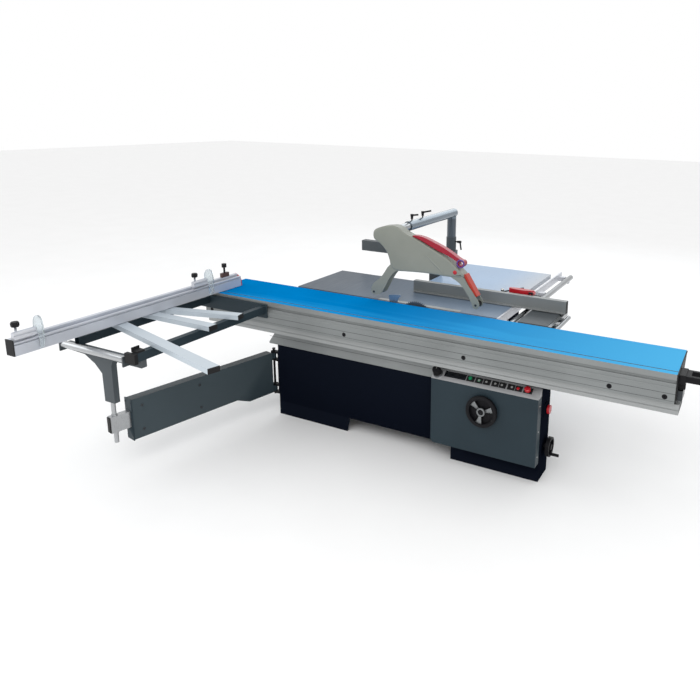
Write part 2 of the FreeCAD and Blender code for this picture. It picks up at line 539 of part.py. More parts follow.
# -------------------------------------------------------------- overhead guard
px, py = POST
node("guard_stand", fuse(box(-450, -370, 1252, 1332, 12, 985).cut(box(-446, -374, 1256, 1328, 16, 981)),
                         box(-500, -320, 1202, 1382, 0, 12), box(-370, -352, 1262, 1322, 824, 856)))
node("stand_beam", fuse(box(-1093, -235, py - 30, py + 30, 985, 1070).cut(
    box(-1088, -240, py - 26, py + 26, 989, 1066)), tube((px, py, 1070), (0, 0, 1), 39, 35.3, 105)).cut(
        cyl((px, py, 1140), (1, 0, 0), 5.3, 60)))
node("guard_mast", cyl((px, py, 1072), (0, 0, 1), 35, 248))
bm = fuse(cyl((BOOM_X, 585, BOOM_Z), (0, 1, 0), 34, 745), cyl((px, py, 1320.5), (0, 0, 1), 35, 20))
bm = bm.cut(cyl((BOOM_X, 500, BOOM_Z), (0, 1, 0), 27.3, 560))
bm = bm.cut(cyl((BOOM_X, 640, 1380), (0, 0, 1), 5.3, 40)).cut(cyl((BOOM_X, 800, 1380), (0, 0, 1), 5, 40))


def lever(ang, h=48):
    s = fuse(cyl((0, 0, 0), (0, 0, 1), 5, h), cyl((0, 0, 16), (0, 0, 1), 9, h - 16), cyl((0, 0, h - 16), (0, 0, 1), 11, 16))
    s = s.fuse(cyl((0, 0, h - 8), (1, 0, 0.18), 6, 62))
    s.rotate(V(0, 0, 0), V(0, 0, 1), ang)
    return s.removeSplitter()


l1 = lever(-20)
l1.translate(V(BOOM_X, 640, 1391))
node("boom_lever_1", l1)
l2 = lever(35)
l2.translate(V(BOOM_X, 800, 1391))
node("guard_boom", group(bm, l2))
l3 = lever(-90)
l3.rotate(V(0, 0, 0), V(1, 0, 0), 90)
l3.rotate(V(0, 0, 0), V(0, 0, 1), 90)
l3.translate(V(px + 35.4, py, 1140))
PARTS_L3 = l3

node("guard_inner_tube", fuse(cyl((BOOM_X, 466.5, BOOM_Z), (0, 1, 0), 27, 480), cyl((BOOM_X, 442, BOOM_Z), (0, 1, 0), 12, 25)))

GY0, GY1 = 392.0, 464.0
g = [(-437, 1329), (-420, 1358), (-368, 1380), (-322, 1388), (-275, 1392), (-232, 1378), (-196, 1352), (-140, 1330),
     (-84, 1306), (-10, 1272), (108, 1218), (171, 1172), (225, 1128), (229, 1108), (137, 1098), (-7, 1102), (-100, 1100),
     (-194, 1094), (-256, 1092), (-298, 1112), (-312, 1166), (-328, 1207), (-352, 1239), (-392, 1272), (-430, 1292)]
gs = ext_y(smooth(g, 4), GY0, GY1)
gi = [(-400, 1320), (-360, 1352), (-240, 1340), (-140, 1312), (-10, 1256), (100, 1204), (150, 1166), (196, 1126),
      (190, 1118), (137, 1050), (-7, 1040), (-250, 1030), (-286, 1060), (-296, 1166), (-312, 1214), (-350, 1262),
      (-395, 1294)]
gs = gs.cut(ext_y(gi, GY0 + 5, GY1 - 5))
legL = [(-306, 1128), (-372, 1040), (-438, 981), (-458, 940), (-450, 908), (-412, 904), (-378, 918), (-353, 957),
        (-318, 1022), (-282, 1072), (-236, 1110)]
legR = [(140, 1104), (206, 1064), (262, 1000), (296, 936), (308, 912), (336, 914), (346, 946), (318, 990),
        (262, 1062), (222, 1112)]
for y0, y1 in ((GY0, GY0 + 7), (GY1 - 7, GY1)):
    gs = gs.fuse(ext_y(smooth(legL, 3), y0, y1)).fuse(ext_y(smooth(legR, 3), y0, y1))
gs = gs.removeSplitter()
for x, z in ((-436, 922), (322, 934)):
    gs = gs.cut(cyl((x, 380, z), (0, 1, 0), 5.3, 100))
hub = cyl((BOOM_X, GY1, BOOM_Z), (0, 1, 0), 24, 2)
gs = gs.fuse(hub).cut(cyl((BOOM_X, 440, BOOM_Z), (0, 1, 0), 12.3, 40)).removeSplitter()
node("guard_shell", gs)
red = smooth([(-149, 1336), (-84, 1338), (-4, 1314), (98, 1272), (196, 1218), (224, 1210), (233, 1190), (222, 1170),
              (200, 1164), (182, 1176), (174, 1200), (110, 1232), (44, 1254), (-20, 1282), (-84, 1311)], 4)
rt_ = ext_y(red, GY0 + 14, GY1 - 14).cut(gs).cut(ext_y(smooth(g, 4), GY0, GY1))
rt_ = rt_.cut(cyl((206, 380, 1190), (0, 1, 0), 13, 100))
sol = sorted(rt_.Solids, key=lambda q: -q.Volume)
node("guard_trim", group(sol[0], ext_y([(226, 1122), (244, 1126), (330, 992), (313, 982)], GY0 + 9, GY1 - 9).cut(gs)))
for nm, x, z in (("guard_wheel_rear", -436, 922), ("guard_wheel_front", 322, 934)):
    node(nm, fuse(cyl((x, GY0 + 8, z), (0, 1, 0), 17, GY1 - GY0 - 16), cyl((x, GY0 + 0.5, z), (0, 1, 0), 5, GY1 - GY0 - 1)))
node("mast_lever", PARTS_L3)

# --------------------------------------------------------------------- export
tot = 0
for name, s in PARTS.items():
    bad = [i for i, q in enumerate(s.Solids) if not q.isValid()]
    print("%-24s solids %d vol %.0f %s %s" % (name, len(s.Solids), s.Volume,
          [round(v) for v in (s.BoundBox.XMin, s.BoundBox.XMax, s.BoundBox.YMin, s.BoundBox.YMax, s.BoundBox.ZMin,
                              s.BoundBox.ZMax)], "BAD" if bad or not s.Solids else ""))
    s.exportStep("parts/%s.step" % name)
print(len(PARTS), "nodes")
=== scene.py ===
import math

import bmesh
import bpy
from mathutils import Matrix, Vector


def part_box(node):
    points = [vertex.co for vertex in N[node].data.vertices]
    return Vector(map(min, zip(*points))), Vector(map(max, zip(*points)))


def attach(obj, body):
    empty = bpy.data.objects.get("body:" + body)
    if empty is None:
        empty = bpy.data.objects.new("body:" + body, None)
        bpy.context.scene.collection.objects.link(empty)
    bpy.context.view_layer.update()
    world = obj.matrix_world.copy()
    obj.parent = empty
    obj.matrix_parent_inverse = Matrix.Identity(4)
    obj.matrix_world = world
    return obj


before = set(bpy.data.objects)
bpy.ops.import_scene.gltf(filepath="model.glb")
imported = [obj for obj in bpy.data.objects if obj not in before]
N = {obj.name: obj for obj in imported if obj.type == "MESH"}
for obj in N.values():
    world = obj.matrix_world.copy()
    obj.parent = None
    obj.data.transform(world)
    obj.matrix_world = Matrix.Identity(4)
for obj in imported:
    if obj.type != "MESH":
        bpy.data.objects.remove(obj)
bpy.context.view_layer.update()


# ------------------------------------------------------------------ materials
def material(name, base, rough=0.5, metal=0.0, var=0.12, grain=None, scale=60.0, bump=0.15, wear=None, wear_amount=0.5,
             coat=0.0, transmission=0.0, rough_var=0.12, streak=None, dist=0.0006, spec=0.5,
             painted_light_ramp=None):
    """Procedural surface: colour drift, painted sheen and painted light ramps, fine grain or brushing, edge wear, and
    bump.
    """
    m = bpy.data.materials.new(name)
    m.use_nodes = True
    t = m.node_tree
    n, l = t.nodes, t.links
    b = n["Principled BSDF"]
    b.inputs["Metallic"].default_value = metal
    b.inputs["Specular IOR Level"].default_value = spec
    b.inputs["Coat Weight"].default_value = coat
    if coat:
        b.inputs["Coat Roughness"].default_value = 0.12
    if transmission:
        b.inputs["Transmission Weight"].default_value = transmission
    tc = n.new("ShaderNodeTexCoord")
    big = n.new("ShaderNodeTexNoise")
    big.inputs["Scale"].default_value = 2.4
    big.inputs["Detail"].default_value = 5
    l.new(tc.outputs["Object"], big.inputs["Vector"])
    mp = n.new("ShaderNodeMapping")
    l.new(tc.outputs["Object"], mp.inputs["Vector"])
    mp.inputs["Scale"].default_value = grain or (1, 1, 1)
    fine = n.new("ShaderNodeTexNoise")
    fine.inputs["Scale"].default_value = scale
    fine.inputs["Detail"].default_value = 4
    l.new(mp.outputs["Vector"], fine.inputs["Vector"])
    ramp = n.new("ShaderNodeValToRGB")
    e = ramp.color_ramp.elements
    e[0].position, e[1].position = 0.3, 0.72
    e[0].color = (*[c * (1 - var) for c in base], 1)
    e[1].color = (*[min(1, c * (1 + var)) for c in base], 1)
    l.new(big.outputs["Fac"], ramp.inputs["Fac"])
    col = ramp.outputs["Color"]
    if streak:
        # long soft patches of paler sheen along one direction
        sm = n.new("ShaderNodeMapping")
        sm.inputs["Scale"].default_value = streak[1]
        l.new(tc.outputs["Object"], sm.inputs["Vector"])
        sn = n.new("ShaderNodeTexNoise")
        sn.inputs["Scale"].default_value = streak[2]
        sn.inputs["Detail"].default_value = 3
        sn.inputs["Distortion"].default_value = 0.7
        l.new(sm.outputs["Vector"], sn.inputs["Vector"])
        sr = n.new("ShaderNodeValToRGB")
        sr.color_ramp.elements[0].position, sr.color_ramp.elements[1].position = streak[3]
        l.new(sn.outputs["Fac"], sr.inputs["Fac"])
        mx = n.new("ShaderNodeMix")
        mx.data_type = "RGBA"
        l.new(sr.outputs["Color"], mx.inputs["Factor"])
        l.new(col, mx.inputs["A"])
        mx.inputs["B"].default_value = (*streak[0], 1)
        col = mx.outputs["Result"]
    if painted_light_ramp:
        # painted light: the colour ramps along the part from x0 to x1 in metres, standing in for the fall of light and
        # reflections along it
        gx = n.new("ShaderNodeSeparateXYZ")
        l.new(tc.outputs["Object"], gx.inputs["Vector"])
        gr = n.new("ShaderNodeMapRange")
        gr.interpolation_type = "SMOOTHSTEP"
        gr.inputs["From Min"].default_value = painted_light_ramp[0]
        gr.inputs["From Max"].default_value = painted_light_ramp[1]
        l.new(gx.outputs["X"], gr.inputs["Value"])
        gm = n.new("ShaderNodeMix")
        gm.data_type = "RGBA"
        l.new(gr.outputs["Result"], gm.inputs["Factor"])
        l.new(col, gm.inputs["A"])
        gm.inputs["B"].default_value = (*painted_light_ramp[2], 1)
        col = gm.outputs["Result"]
    if wear:
        g = n.new("ShaderNodeNewGeometry")
        wr = n.new("ShaderNodeValToRGB")
        wr.color_ramp.elements[0].position, wr.color_ramp.elements[1].position = 0.54, 0.62
        wr.color_ramp.elements[1].color = (wear_amount,) * 3 + (1,)
        l.new(g.outputs["Pointiness"], wr.inputs["Fac"])
        mw = n.new("ShaderNodeMix")
        mw.data_type = "RGBA"
        l.new(wr.outputs["Color"], mw.inputs["Factor"])
        l.new(col, mw.inputs["A"])
        mw.inputs["B"].default_value = (*wear, 1)
        col = mw.outputs["Result"]
    l.new(col, b.inputs["Base Color"])
    rr = n.new("ShaderNodeMapRange")
    rr.inputs["To Min"].default_value = max(0.03, rough - rough_var)
    rr.inputs["To Max"].default_value = min(1.0, rough + rough_var)
    l.new(fine.outputs["Fac"], rr.inputs["Value"])
    l.new(rr.outputs["Result"], b.inputs["Roughness"])
    bp = n.new("ShaderNodeBump")
    bp.inputs["Strength"].default_value = bump
    bp.inputs["Distance"].default_value = dist
    l.new(fine.outputs["Fac"], bp.inputs["Height"])
    l.new(bp.outputs["Normal"], b.inputs["Normal"])
    return m


PALE = (0.45, 0.46, 0.47)
M = {
    "cabinet": material("cabinet_navy", (0.0010, 0.0017, 0.0048), 0.60, scale=260, bump=0.18, wear=(0.010, 0.013, 0.021), spec=0.0),
    "slate": material("slate_paint", (0.019, 0.032, 0.041), 0.46, scale=240, bump=0.20, wear=(0.07, 0.09, 0.10), spec=0.18),
    "panel": material("panel_paint", (0.21, 0.21, 0.215), 0.48, scale=220, bump=0.15, wear=PALE, spec=0.3),
    "alu": material("drawn_aluminium", (0.215, 0.228, 0.228), 0.42, 0.3, grain=(0.02, 1, 1), scale=420, bump=0.12,
                    wear=(0.42, 0.43, 0.43), spec=0.35),
    "alu_y": material("drawn_aluminium_y", (0.48, 0.51, 0.57), 0.38, 0.3, grain=(1, 0.02, 1), scale=420, bump=0.12,
                      wear=(0.7, 0.7, 0.72), spec=0.4),
    # blue film: painted light, a ramp to paler blue towards the right along the carriage, with patches of painted sheen
    "film": material("blue_film", (0.0, 0.175, 0.47), 0.24, coat=0.0, grain=(0.06, 1, 1), scale=60, bump=0.06, var=0.08,
                     rough_var=0.05, streak=((0.02, 0.30, 0.64), (0.28, 2.2, 1), 1.7, (0.54, 0.80)), dist=0.0005, spec=0.0,
                     painted_light_ramp=(-0.2, 2.6, (0.09, 0.44, 0.74))),
    "black": material("moulded_black", (0.006, 0.006, 0.0075), 0.50, scale=500, bump=0.22, wear=(0.024, 0.024, 0.024), spec=0.14),
    # main table: painted shade and light, darker at the left and paler blue towards the blade on the right
    "cast": material("ground_cast", (0.072, 0.092, 0.118), 0.34, 0.0, grain=(1, 0.05, 1), scale=180, bump=0.03,
                     wear=(0.34, 0.35, 0.37), var=0.08, spec=0.12, painted_light_ramp=(-0.75, 0.75, (0.17, 0.225, 0.30))),
    # rear table: a lit copy of the ground cast, paler blue, with a painted beige reflection ramped in towards its far
    # right end
    "cast_painted_reflection": material("ground_cast_painted_reflection", (0.27, 0.41, 0.60), 0.32, 0.0, grain=(1, 0.05, 1), scale=180, bump=0.03,
                         wear=(0.45, 0.45, 0.47), var=0.05, spec=0.25, painted_light_ramp=(0.35, 1.05, (0.60, 0.55, 0.47))),
    "frame": material("dark_frame", (0.055, 0.066, 0.074), 0.44, scale=240, bump=0.25, wear=(0.2, 0.2, 0.2), spec=0.3),
    # support bars: painted reflection, a ramp to paler blue towards their right end
    "bar": material("bar_aluminium", (0.24, 0.33, 0.41), 0.36, 0.2, scale=300, bump=0.06, wear=(0.6, 0.62, 0.64), spec=0.3,
                    painted_light_ramp=(-1.30, -0.45, (0.38, 0.48, 0.56))),
    "steel": material("brushed_steel", (0.40, 0.41, 0.42), 0.30, 0.85, grain=(1, 1, 0.04), scale=380, bump=0.10),
    "steel_x": material("brushed_steel_x", (0.46, 0.47, 0.48), 0.30, 0.85, grain=(0.04, 1, 1), scale=380, bump=0.10),
    "blade": material("blade_steel", (0.09, 0.10, 0.11), 0.34, 0.6, scale=300, bump=0.08),
    "spoke": material("spoke_steel", (0.20, 0.21, 0.215), 0.36, 0.6, scale=300, bump=0.08),
    "boom": material("boom_gloss", (0.13, 0.165, 0.20), 0.22, 0.6, grain=(1, 0.05, 1), scale=300, bump=0.06, coat=0.4),
    "mast": material("mast_gloss", (0.075, 0.092, 0.11), 0.30, 0.5, grain=(1, 1, 0.05), scale=300, bump=0.08, coat=0.25),
    "chrome": material("chrome", (0.30, 0.31, 0.32), 0.20, 0.9, grain=(1, 0.05, 1), scale=260, bump=0.03, rough_var=0.04),
    "red": material("red_moulded", (0.42, 0.006, 0.014), 0.32, scale=420, bump=0.12, coat=0.25, wear=(0.55, 0.08, 0.08), spec=0.35),
    "crimson": material("crimson_moulded", (0.30, 0.003, 0.02), 0.34, scale=420, bump=0.12, coat=0.2, spec=0.3),
    "orange": material("orange_red", (0.40, 0.026, 0.010), 0.36, scale=420, bump=0.12, coat=0.2, spec=0.3),
    "purple": material("purple_ring", (0.085, 0.025, 0.19), 0.34, scale=420, bump=0.1, coat=0.2),
    "dark_inside": material("dark_plum", (0.05, 0.02, 0.035), 0.6, scale=300, bump=0.2),
    "green": material("green_button", (0.008, 0.20, 0.08), 0.34, scale=420, bump=0.1, coat=0.2),
    "guard": material("guard_moulded", (0.215, 0.225, 0.195), 0.40, scale=520, bump=0.16, wear=(0.34, 0.35, 0.32),
                      wear_amount=0.3, coat=0.06, spec=0.3),
    "clear": material("clear_acrylic", (0.74, 0.80, 0.83), 0.12, transmission=0.75, scale=200, bump=0.04, var=0.03,
                      rough_var=0.05),
    "rubber": material("rubber", (0.010, 0.010, 0.010), 0.75, scale=300, bump=0.4, spec=0.2),
    "brown": material("brown_block", (0.045, 0.018, 0.015), 0.45, scale=300, bump=0.2, wear=(0.11, 0.06, 0.05), spec=0.3),
    "screw": material("dark_screw", (0.05, 0.055, 0.06), 0.35, 0.8, scale=400, bump=0.1),
    "zinc": material("zinc_screw", (0.50, 0.50, 0.49), 0.28, 0.9, scale=400, bump=0.08),
    "motor": material("motor_cast", (0.045, 0.052, 0.065), 0.55, scale=180, bump=0.5, wear=(0.16, 0.16, 0.16)),
    "display": material("display_glass", (0.003, 0.004, 0.006), 0.14, scale=300, bump=0.02, coat=0.3),
    "plate": material("blank_plate", (0.50, 0.49, 0.46), 0.5, scale=300, bump=0.05),
    "cap": material("button_cap", (0.24, 0.24, 0.235), 0.5, scale=300, bump=0.05),
}
NODE_MAT = {
    "cabinet_shell": "cabinet", "console_box": "slate", "control_panel": "panel", "selector_knob": "black",
    "start_button": "green", "emergency_stop_front": "red", "emergency_stop_side": "red", "support_beam": "alu",
    "fixed_rail": "alu", "roller_cassette": "steel_x", "carriage_profile": "alu", "carriage_film": "film",
    "carriage_end_caps": "black", "push_handle": "black", "outrigger_frame": "slate", "support_bars": "bar",
    "tee_leg": "frame", "loading_roller": "steel_x", "crosscut_fence": "alu_y", "fence_fittings": "black",
    "flip_stop_1_carrier": "alu_y", "flip_stop_1_fin": "clear", "flip_stop_2_carrier": "alu_y", "flip_stop_2_fin": "clear",
    "swing_arm": "slate", "arm_hinge_bracket": "black", "telescopic_tube": "steel", "main_table": "cast",
    "blade_insert": "alu", "rear_extension_table": "cast_painted_reflection", "front_extension_table": "frame",
    "fence_rail_flat": "alu_y", "fence_rail_round": "chrome", "rip_carrier": "black", "rip_fence": "alu",
    "rip_handle": "red", "rip_lever": "black", "trunnion_brackets": "motor", "saw_cradle": "motor",
    "scoring_blade": "blade", "arbor_unit": "motor", "riving_knife": "steel", "saw_spindle": "steel", "saw_blade": "blade",
    "main_motor": "motor", "motor_pulley": "steel", "drive_belt": "rubber", "lift_handwheel": "black",
    "tilt_handwheel": "black", "guard_stand": "frame", "stand_beam": "frame", "guard_mast": "mast", "guard_boom": "boom",
    "boom_lever_1": "black", "guard_inner_tube": "chrome", "guard_shell": "guard", "guard_trim": "crimson",
    "guard_wheel_front": "rubber", "guard_wheel_rear": "rubber", "mast_lever": "black",
}


def P(x, y, z):
    """Local layout millimetres to the row frame in metres."""
    return Vector(((x + 300) / 1000, (y - 500) / 1000, z / 1000))


def by_islands(o, rule):
    """Assigns materials to the connected bodies of one node. rule(centre, size) names a material or None."""
    me = o.data
    bm = bmesh.new()
    bm.from_mesh(me)
    bm.faces.ensure_lookup_table()
    # glTF splits vertices at hard edges, so islands are joined by position
    key = {}
    par = list(range(len(bm.faces)))

    def find(i):
        while par[i] != i:
            par[i] = par[par[i]]
            i = par[i]
        return i
    for f in bm.faces:
        for v in f.verts:
            k = tuple(round(c, 5) for c in v.co)
            if k in key:
                par[find(f.index)] = find(key[k])
            else:
                key[k] = f.index
    groups = {}
    for f in bm.faces:
        groups.setdefault(find(f.index), []).append(f)
    names = [m.name for m in me.materials]
    choice = {}
    for fs in groups.values():
        lo = Vector((min(v.co[i] for f in fs for v in f.verts) for i in range(3)))
        hi = Vector((max(v.co[i] for f in fs for v in f.verts) for i in range(3)))
        w = rule((lo + hi) / 2, hi - lo)
        if w:
            mat = M[w]
            if mat.name not in names:
                me.materials.append(mat)
                names.append(mat.name)
            for f in fs:
                choice[f.index] = names.index(mat.name)
    bm.free()
    for i, k in choice.items():
        me.polygons[i].material_index = k


def by_faces(o, rule):
    """Assigns materials face by face. rule(face centre) names a material or None."""
    me = o.data
    names = [m.name for m in me.materials]
    for p in me.polygons:
        w = rule(o.matrix_world @ p.center)
        if w:
            mat = M[w]
            if mat.name not in names:
                me.materials.append(mat)
                names.append(mat.name)
            p.material_index = names.index(mat.name)


for name, o in N.items():
    o.data.materials.clear()
    o.data.materials.append(M[NODE_MAT[name]])

PA = math.atan2(47, 65)
PN = Vector((0, -math.sin(PA), math.cos(PA)))
PT = Vector((0, math.cos(PA), math.sin(PA)))


def panel_pt(x, s, h=0.0):
    """Point on the sloped control panel: s up the slope, h off it (mm)."""
    return P(x, 30 + s * math.cos(PA), 549 + s * math.sin(PA)) + PN * (h / 1000)


def rule_panel(c, d):
    if d.x > 0.5:
        return None
    if d.x > 0.08:
        return "display"
    return "red" if c.x > P(720, 0, 0).x else ("green" if c.x < P(520, 0, 0).x else "black")


by_islands(N["control_panel"], rule_panel)
BARS = [(P(a, b, 0).xy, P(c, d, 0).xy) for a, b, c, d in
        ((-1612, -752, -500, -1038), (-1600, -548, -990, -548), (-1600, -452, -1002, -300))]


def rule_bars(c):
    if P(-1130, 0, 0).x < c.x < P(-1040, 0, 0).x and c.y < P(0, -985, 0).y:
        return "black"
    for a, b in BARS:
        d = (b - a).normalized()
        t, w = (c.xy - a).dot(d), abs((c.xy - a).cross(d))
        if w < 0.05 and (abs(t) < 0.014 or abs(t - (b - a).length) < 0.014):
            return "black"
    return None


by_faces(N["support_bars"], rule_bars)
for nm in ("flip_stop_1_carrier", "flip_stop_2_carrier"):
    by_faces(N[nm], lambda c: "black" if c.z > 1.0 else None)
by_islands(N["fixed_rail"], lambda c, d: "chrome" if d.y < 0.02 else None)
by_islands(N["telescopic_tube"], lambda c, d: "zinc" if d.z > 0.15 and max(d.x, d.y) < 0.06 else ("screw" if d.z < 0.02 else None))
by_islands(N["fence_fittings"], lambda c, d: "red" if c.y > P(0, 200, 0).y else ("brown" if d.y > 0.05 else None))
by_islands(N["guard_trim"], lambda c, d: "orange" if c.z < 1.09 else None)
by_islands(N["guard_boom"], lambda c, d: "black" if max(d) < 0.2 else None)
by_islands(N["front_extension_table"], lambda c, d: "chrome" if d.x < 0.04 and d.y > 0.2 else None)
by_islands(N["carriage_end_caps"], lambda c, d: "screw" if 0.02 < d.x < 0.04 and d.y > 0.1 else None)


def round_edges(o, w, seg=2, angle=35):
    wl = o.modifiers.new("weld", "WELD")
    wl.merge_threshold = 0.00001
    b = o.modifiers.new("soft_edge", "BEVEL")
    b.width, b.segments, b.limit_method, b.angle_limit = w, seg, "ANGLE", math.radians(angle)
    b.harden_normals = False
    b.use_clamp_overlap = True
    o.data.polygons.foreach_set("use_smooth", [True] * len(o.data.polygons))
    s = o.modifiers.new("flat_faces", "WEIGHTED_NORMAL")
    s.keep_sharp = True


for nm, w in (("console_box", 0.0018), ("carriage_profile", 0.0008), ("support_beam", 0.0012),
              ("outrigger_frame", 0.0012), ("crosscut_fence", 0.0007), ("swing_arm", 0.0014), ("rip_fence", 0.001),
              ("push_handle", 0.003), ("tee_leg", 0.0012), ("main_table", 0.0012), ("rear_extension_table", 0.0015),
              ("front_extension_table", 0.0012), ("guard_stand", 0.0015), ("stand_beam", 0.0015),
              ("rip_handle", 0.005), ("rip_carrier", 0.0015), ("guard_shell", 0.0016), ("guard_trim", 0.003),
              ("emergency_stop_front", 0.003), ("emergency_stop_side", 0.003), ("selector_knob", 0.002),
              ("start_button", 0.002), ("lift_handwheel", 0.002), ("tilt_handwheel", 0.002),
              ("flip_stop_1_fin", 0.001), ("flip_stop_2_fin", 0.001)):
    if len(N[nm].data.polygons) < 20000:
        round_edges(N[nm], w)


# -------------------------------------------------------------------- pieces
def piece(name, bm, mat, body, smooth=True):
    me = bpy.data.meshes.new(name)
    bmesh.ops.remove_doubles(bm, verts=bm.verts, dist=1e-7)
    bmesh.ops.recalc_face_normals(bm, faces=bm.faces)
    bm.to_mesh(me)
    bm.free()
    o = bpy.data.objects.new(name, me)
    bpy.context.scene.collection.objects.link(o)
    me.materials.append(M[mat])
    if smooth:
        me.polygons.foreach_set("use_smooth", [True] * len(me.polygons))
        me.update()
        try:
            me.set_sharp_from_angle(angle=math.radians(35))
        except AttributeError:
            pass
    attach(o, body)
    return o


def lathe(bm, centre, axis, profile, seg=28, closed_ends=True):
    """Revolves (radius, height) pairs, in metres, about axis through centre."""
    axis = Vector(axis).normalized()
    rot = axis.to_track_quat("Z", "Y").to_matrix()
    rings = []
    for r, h in profile:
        ring = []
        for k in range(seg):
            a = 2 * math.pi * k / seg
            ring.append(bm.verts.new(Vector(centre) + rot @ Vector((r * math.cos(a), r * math.sin(a), h))))
        rings.append(ring)
    for a, b in zip(rings, rings[1:]):
        for k in range(seg):
            bm.faces.new((a[k], a[(k + 1) % seg], b[(k + 1) % seg], b[k]))
    if closed_ends:
        bm.faces.new(list(reversed(rings[0])))
        bm.faces.new(rings[-1])


def screw(bm, centre, axis, r, h):
    """Socket head screw with a chamfered rim and a sunk round socket."""
    lathe(bm, centre, axis, [(r, 0), (r, h * 0.7), (r * 0.86, h), (r * 0.5, h), (r * 0.42, h * 0.45)], 24)


def slab(bm, o, u, v, n, u0, u1, v0, v1, h, ch=0.0004):
    """Chamfered plate on the plane o + u,v, standing h along n."""
    def ring(d, z):
        return [bm.verts.new(o + u * a + v * b + n * z) for a, b in
                ((u0 + d, v0 + d), (u1 - d, v0 + d), (u1 - d, v1 - d), (u0 + d, v1 - d))]
    rs = [ring(0, 0), ring(0, h - ch), ring(ch, h)]
    for a, b in zip(rs, rs[1:]):
        for k in range(4):
            bm.faces.new((a[k], a[(k + 1) % 4], b[(k + 1) % 4], b[k]))
    bm.faces.new(list(reversed(rs[0])))
    bm.faces.new(rs[-1])


X, Y, Z = Vector((1, 0, 0)), Vector((0, 1, 0)), Vector((0, 0, 1))

# black button cells on the sloped panel, with light dividers between them
bm = bmesh.new()
for a, b in ((473, 521), (524, 570), (578, 622), (625, 668), (677, 722), (725, 768)):
    slab(bm, panel_pt(0, 0), X, PT, PN, a / 1000, b / 1000, 0.029, 0.067, 0.0012)
slab(bm, panel_pt(0, 0), X, PT, PN, 0.417, 0.468, 0.029, 0.067, 0.0012)
slab(bm, panel_pt(0, 0), X, PT, PN, 0.776, 0.830, 0.029, 0.067, 0.0012)
piece("panel_cells", bm, "black", "machine")
bm = bmesh.new()
for x in (497, 545, 601, 642, 704):
    lathe(bm, panel_pt(x, 48, 4.0), PN, [(0.0072, 0), (0.0072, 0.0008), (0.0058, 0.0015), (0.0026, 0.0012)], 24)
piece("button_caps", bm, "cap", "machine")
bm = bmesh.new()
lathe(bm, panel_pt(742, 48, 4.0), PN, [(0.0080, 0), (0.0080, 0.0009), (0.0064, 0.0017), (0.0028, 0.0014)], 24)
piece("button_cap_red", bm, "red", "machine")
bm = bmesh.new()
lathe(bm, panel_pt(228, 38, 0.0), PN, [(0.031, 0), (0.031, 0.0006), (0.0305, 0.0009), (0.0286, 0.0009), (0.0286, 0)], 40, False)
piece("knob_dial_ring", bm, "chrome", "machine")
bm = bmesh.new()
lathe(bm, panel_pt(228, 38, 1.0), PN, [(0.0282, 0), (0.0286, 0.004), (0.0282, 0.009), (0.0262, 0.0114), (0.0245, 0.0115)], 48, False)
piece("knob_collar", bm, "chrome", "knob")
bm = bmesh.new()
for k in range(28):
    a = 2 * math.pi * k / 28
    c = panel_pt(228, 38, 14) + X * (0.0240 * math.cos(a)) + PT * (0.0240 * math.sin(a))
    lathe(bm, c, PN, [(0.0009, 0), (0.0013, 0.002), (0.0013, 0.035), (0.0006, 0.0372)], 8)
piece("knob_ribs", bm, "black", "knob")
bm = bmesh.new()
slab(bm, panel_pt(228, 38, 52), X, PT, PN, -0.0009, 0.0009, 0.004, 0.021, 0.0006, 0.0002)
piece("knob_pointer", bm, "plate", "knob")
bm = bmesh.new()
lathe(bm, panel_pt(802, 48, 20), PN, [(0.0186, -0.0005), (0.0178, 0.002), (0.0150, 0.0036), (0.009, 0.0046), (0.002, 0.0049)], 40)
piece("stop_front_crown", bm, "red", "stop_front")

# handwheel: dished face, silver spokes and a light hub ring
wc = P(541, 24, 411)
bm = bmesh.new()
lathe(bm, wc, -Y, [(0.097, 0.004), (0.099, 0.012), (0.0985, 0.021), (0.093, 0.0268), (0.085, 0.0268), (0.079, 0.022), (0.0765, 0.012)],
      72, False)
piece("handwheel_rim", bm, "black", "wheel_lift")
bm = bmesh.new()
for k in range(3):
    a = math.radians(20 + 120 * k)
    u = Vector((math.cos(a), 0, math.sin(a)))
    v = Vector((-math.sin(a), 0, math.cos(a)))
    prof = [(0.028, 0.0080), (0.045, 0.0112), (0.062, 0.0158), (0.076, 0.0210)]
    rows = []
    for r, w in prof:
        lift = 0.0205 + 0.0012 * (r - 0.028) / 0.048
        rows.append([bm.verts.new(wc + u * r + v * (w * q) - Y * (lift - 0.0016 * abs(q) ** 2)) for q in (-1, -0.5, 0, 0.5, 1)])
    for ra, rb in zip(rows, rows[1:]):
        for i in range(4):
            bm.faces.new((ra[i], ra[i + 1], rb[i + 1], rb[i]))
sp = piece("handwheel_spokes", bm, "spoke", "wheel_lift")
so = sp.modifiers.new("thick", "SOLIDIFY")
so.thickness, so.offset = 0.003, 0
bm = bmesh.new()
lathe(bm, wc, -Y, [(0.0262, 0.018), (0.0262, 0.0275), (0.0245, 0.029), (0.0185, 0.029), (0.0168, 0.0268)], 48, False)
piece("handwheel_hub_ring", bm, "spoke", "wheel_lift")
bm = bmesh.new()
lathe(bm, wc, -Y, [(0.0166, 0.020), (0.0166, 0.0262), (0.012, 0.0282), (0.004, 0.0288)], 36)
piece("handwheel_cap", bm, "black", "wheel_lift")

